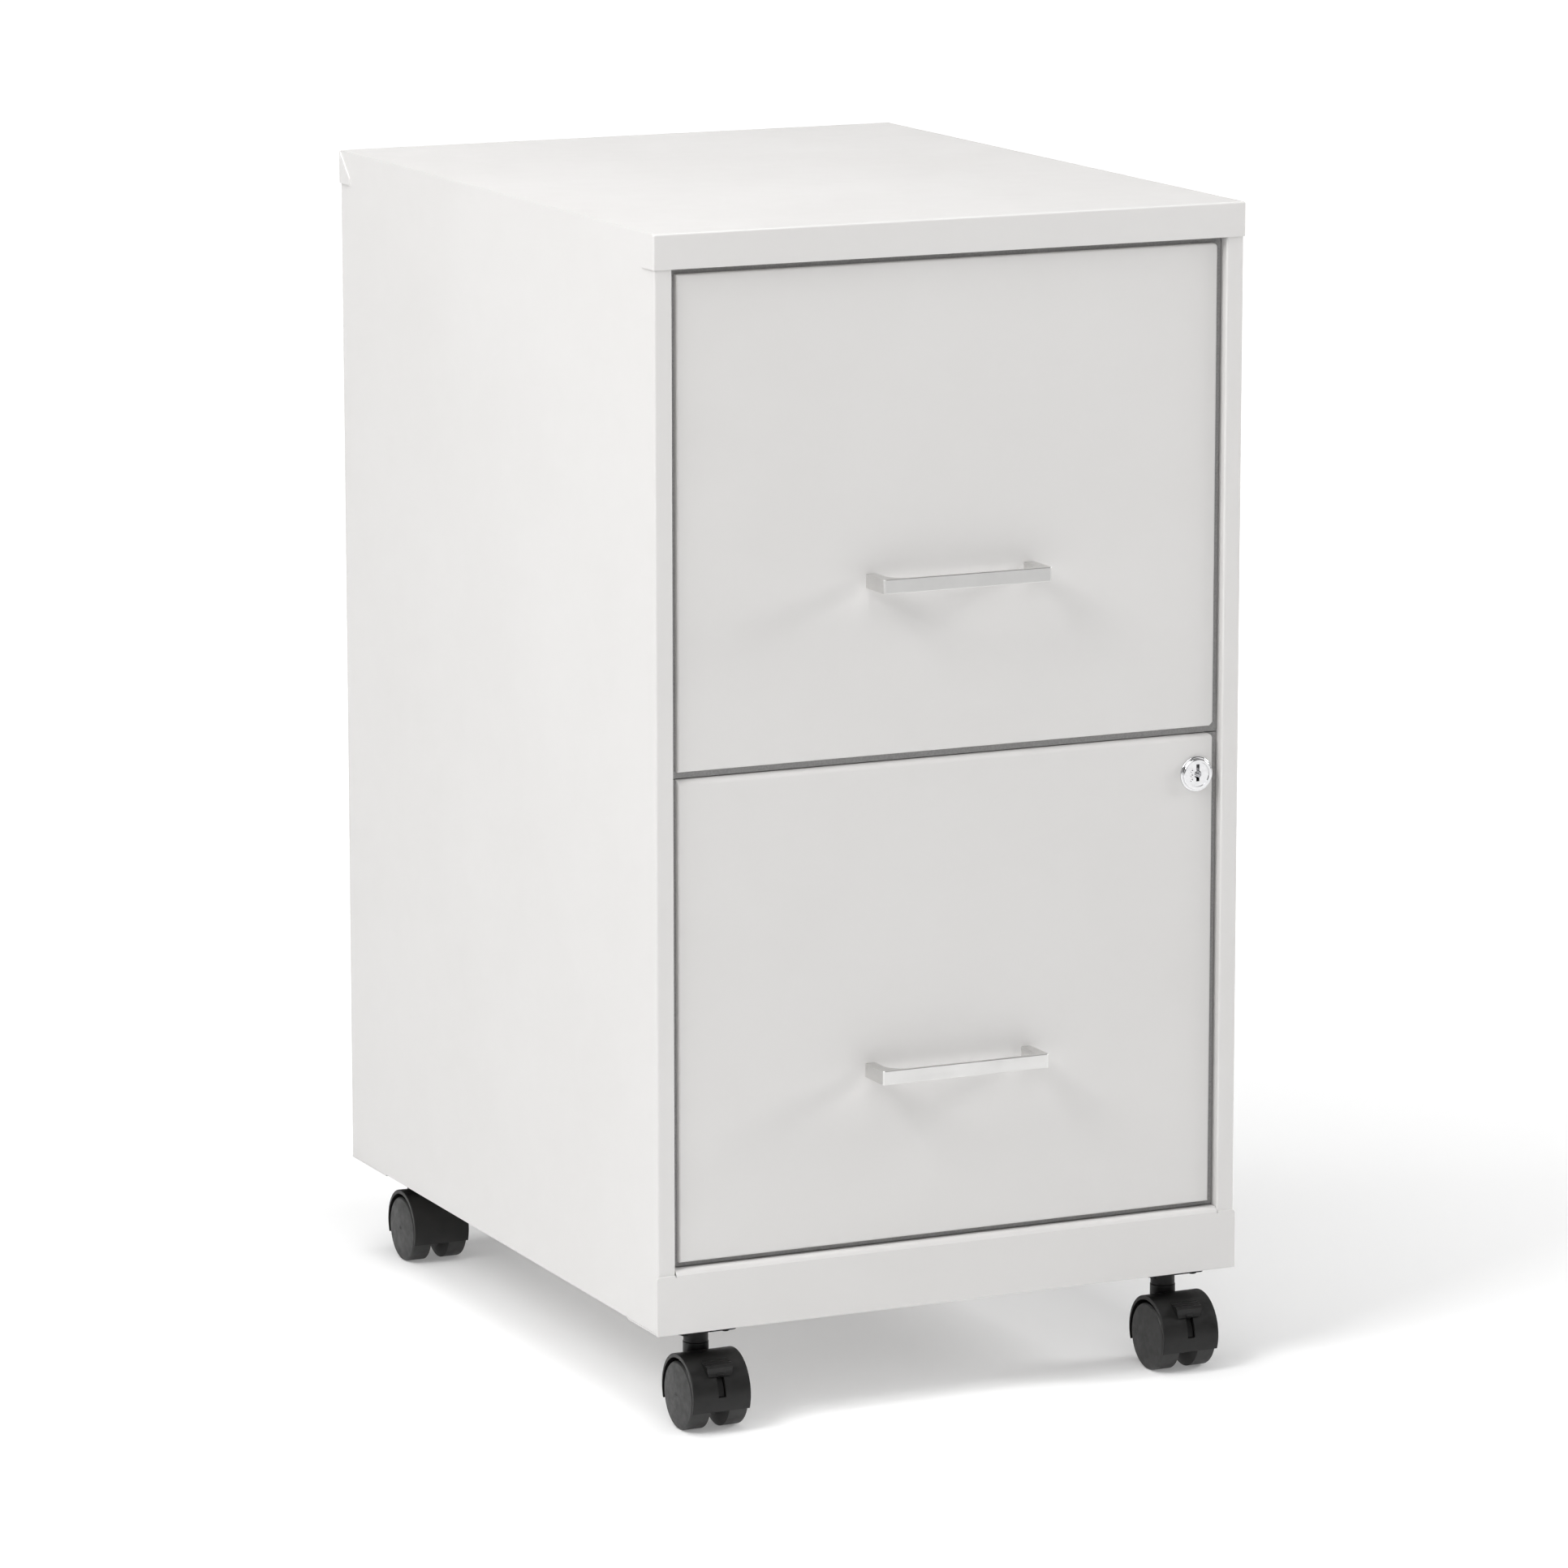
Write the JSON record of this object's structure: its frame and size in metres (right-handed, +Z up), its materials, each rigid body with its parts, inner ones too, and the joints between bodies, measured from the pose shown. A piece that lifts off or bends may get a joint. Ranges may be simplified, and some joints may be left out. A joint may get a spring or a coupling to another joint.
{
  "type": "filing cabinet",
  "caption": "Steel pedestal filing cabinet with stacked full-width drawers, bar pulls, a cam lock and swivelling hooded casters.",
  "frame": {"origin": "on the floor, under the middle of the overall outline, from the front of the handles to the back of the cap", "axes": "+Z up, drawers open towards -Y, +X to the right for somebody facing the drawers"},
  "size_m": [0.363, 0.4796, 0.6723],
  "materials": {
    "white_enamel": "satin white powder coat",
    "zinc_steel": "zinc-plated steel",
    "white_nylon": "natural nylon",
    "lock_chrome": "polished chrome",
    "satin_chrome": "satin chrome plating",
    "grey_foam": "grey foam strip",
    "black_steel": "black painted steel",
    "black_nylon": "satin black moulded nylon",
    "wheel_nylon": "dark grey moulded nylon"
  },
  "bodies": {
    "cabinet": {"left_side_panel": "white_enamel", "right_side_panel": "white_enamel", "top_panel": "white_enamel", "back_panel": "white_enamel", "base_panel": "white_enamel", "bottom_pan": "white_enamel", "rear_base_strip": "white_enamel", "rail_supports": "white_enamel", "rail_screws": "zinc_steel", "cabinet_glides": "white_nylon", "lower_left_cabinet_rail": "zinc_steel", "lower_right_cabinet_rail": "zinc_steel", "upper_left_cabinet_rail": "zinc_steel", "upper_right_cabinet_rail": "zinc_steel", "caster_plates": "black_steel", "caster_kingpins": "zinc_steel", "caster_screws": "black_steel"},
    "lower_drawer": {"lower_drawer_front": "white_enamel", "lower_drawer_inner_front": "white_enamel", "lower_drawer_tray": "white_enamel", "lower_drawer_back": "white_enamel", "lower_left_drawer_runner": "zinc_steel", "lower_right_drawer_runner": "zinc_steel", "lower_drawer_glides": "white_nylon", "lower_drawer_seal": "grey_foam", "lower_handle": "satin_chrome", "lower_handle_screws": "zinc_steel", "lock_housing": "lock_chrome", "lock_nut": "zinc_steel"},
    "upper_drawer": {"upper_drawer_front": "white_enamel", "upper_drawer_inner_front": "white_enamel", "upper_drawer_tray": "white_enamel", "upper_drawer_back": "white_enamel", "upper_left_drawer_runner": "zinc_steel", "upper_right_drawer_runner": "zinc_steel", "upper_drawer_glides": "white_nylon", "upper_drawer_seal": "grey_foam", "upper_handle": "satin_chrome", "upper_handle_screws": "zinc_steel"},
    "lock_cylinder": {"lock_plug": "lock_chrome", "lock_cam": "zinc_steel", "lock_cam_screw": "zinc_steel"},
    "front_left_caster": {"front_left_caster_hood": "black_nylon", "front_left_caster_axle": "zinc_steel"},
    "front_left_left_wheel": {"front_left_caster_left_wheel": "wheel_nylon"},
    "front_left_right_wheel": {"front_left_caster_right_wheel": "wheel_nylon"},
    "front_left_brake": {"front_left_brake_lever": "black_nylon"},
    "front_right_caster": {"front_right_caster_hood": "black_nylon", "front_right_caster_axle": "zinc_steel"},
    "front_right_left_wheel": {"front_right_caster_left_wheel": "wheel_nylon"},
    "front_right_right_wheel": {"front_right_caster_right_wheel": "wheel_nylon"},
    "front_right_brake": {"front_right_brake_lever": "black_nylon"},
    "rear_left_caster": {"rear_left_caster_hood": "black_nylon", "rear_left_caster_axle": "zinc_steel"},
    "rear_left_left_wheel": {"rear_left_caster_left_wheel": "wheel_nylon"},
    "rear_left_right_wheel": {"rear_left_caster_right_wheel": "wheel_nylon"},
    "rear_right_caster": {"rear_right_caster_hood": "black_nylon", "rear_right_caster_axle": "zinc_steel"},
    "rear_right_left_wheel": {"rear_right_caster_left_wheel": "wheel_nylon"},
    "rear_right_right_wheel": {"rear_right_caster_right_wheel": "wheel_nylon"}
  },
  "joints": [
    {"name": "upper_drawer_slide", "type": "slide", "parent": "cabinet", "child": "upper_drawer", "axis": [0, -1, 0], "range_m": [0, 0.33]},
    {"name": "lower_drawer_slide", "type": "slide", "parent": "cabinet", "child": "lower_drawer", "axis": [0, -1, 0], "range_m": [0, 0.33]},
    {"name": "lock_turn", "type": "hinge", "parent": "lower_drawer", "child": "lock_cylinder", "pos_m": [0.1554, -0.21685, 0.3476], "axis": [0, 1, 0], "range_deg": [0, 90]},
    {"name": "front_left_swivel", "type": "hinge", "parent": "cabinet", "child": "front_left_caster", "pos_m": [-0.1475, -0.19715, 0.0473], "axis": [0, 0, 1], "continuous": true},
    {"name": "front_left_left_wheel_spin", "type": "hinge", "parent": "front_left_caster", "child": "front_left_left_wheel", "pos_m": [-0.1575, -0.21145, 0.0195], "axis": [1, 0, 0], "continuous": true},
    {"name": "front_left_right_wheel_spin", "type": "hinge", "parent": "front_left_caster", "child": "front_left_right_wheel", "pos_m": [-0.1375, -0.21145, 0.0195], "axis": [1, 0, 0], "continuous": true},
    {"name": "front_left_brake_turn", "type": "hinge", "parent": "front_left_caster", "child": "front_left_brake", "pos_m": [-0.1475, -0.21145, 0.0195], "axis": [1, 0, 0], "range_deg": [0, 28]},
    {"name": "front_right_swivel", "type": "hinge", "parent": "cabinet", "child": "front_right_caster", "pos_m": [0.1475, -0.19715, 0.0473], "axis": [0, 0, 1], "continuous": true},
    {"name": "front_right_left_wheel_spin", "type": "hinge", "parent": "front_right_caster", "child": "front_right_left_wheel", "pos_m": [0.1375, -0.21145, 0.0195], "axis": [1, 0, 0], "continuous": true},
    {"name": "front_right_right_wheel_spin", "type": "hinge", "parent": "front_right_caster", "child": "front_right_right_wheel", "pos_m": [0.1575, -0.21145, 0.0195], "axis": [1, 0, 0], "continuous": true},
    {"name": "front_right_brake_turn", "type": "hinge", "parent": "front_right_caster", "child": "front_right_brake", "pos_m": [0.1475, -0.21145, 0.0195], "axis": [1, 0, 0], "range_deg": [0, 28]},
    {"name": "rear_left_swivel", "type": "hinge", "parent": "cabinet", "child": "rear_left_caster", "pos_m": [-0.1475, 0.21265, 0.0473], "axis": [0, 0, 1], "continuous": true},
    {"name": "rear_left_left_wheel_spin", "type": "hinge", "parent": "rear_left_caster", "child": "rear_left_left_wheel", "pos_m": [-0.1575, 0.19835, 0.0195], "axis": [1, 0, 0], "continuous": true},
    {"name": "rear_left_right_wheel_spin", "type": "hinge", "parent": "rear_left_caster", "child": "rear_left_right_wheel", "pos_m": [-0.1375, 0.19835, 0.0195], "axis": [1, 0, 0], "continuous": true},
    {"name": "rear_right_swivel", "type": "hinge", "parent": "cabinet", "child": "rear_right_caster", "pos_m": [0.1475, 0.21265, 0.0473], "axis": [0, 0, 1], "continuous": true},
    {"name": "rear_right_left_wheel_spin", "type": "hinge", "parent": "rear_right_caster", "child": "rear_right_left_wheel", "pos_m": [0.1375, 0.19835, 0.0195], "axis": [1, 0, 0], "continuous": true},
    {"name": "rear_right_right_wheel_spin", "type": "hinge", "parent": "rear_right_caster", "child": "rear_right_right_wheel", "pos_m": [0.1575, 0.19835, 0.0195], "axis": [1, 0, 0], "continuous": true}
  ]
}
